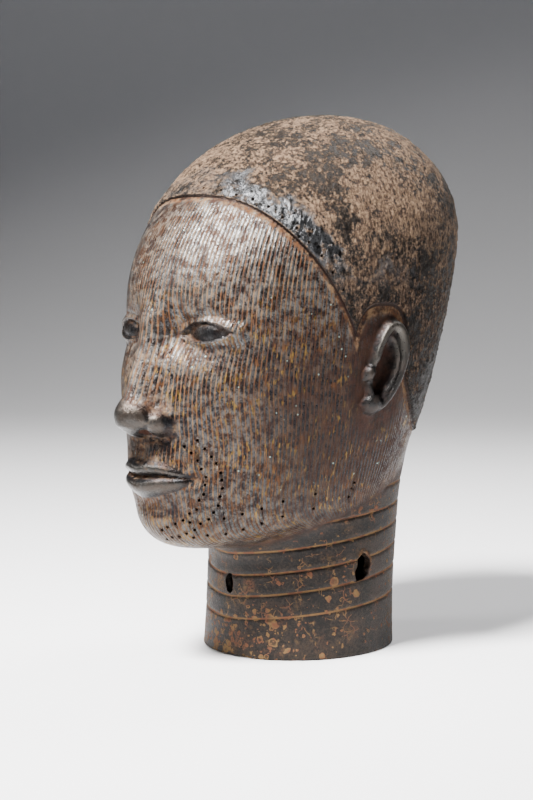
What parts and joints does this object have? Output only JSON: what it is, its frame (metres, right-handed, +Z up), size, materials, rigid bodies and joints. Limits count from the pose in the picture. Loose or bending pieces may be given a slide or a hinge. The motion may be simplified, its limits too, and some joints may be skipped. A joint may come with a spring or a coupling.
{
  "type": "bronze head sculpture",
  "caption": "Life-size hollow-cast bronze head with a smooth hair cap, striated face and incised neck lines, open at the neck rim it stands on.",
  "frame": {"origin": "centre of the overall box, at the plane that the neck rim stands on", "axes": "+Z up, through the crown; the face looks along -Y and the head's left ear is at +X"},
  "size_m": [0.1721, 0.2354, 0.3068],
  "materials": {
    "bronze": "patina"
  },
  "bodies": {
    "root": {"head": "bronze"}
  },
  "joints": []
}
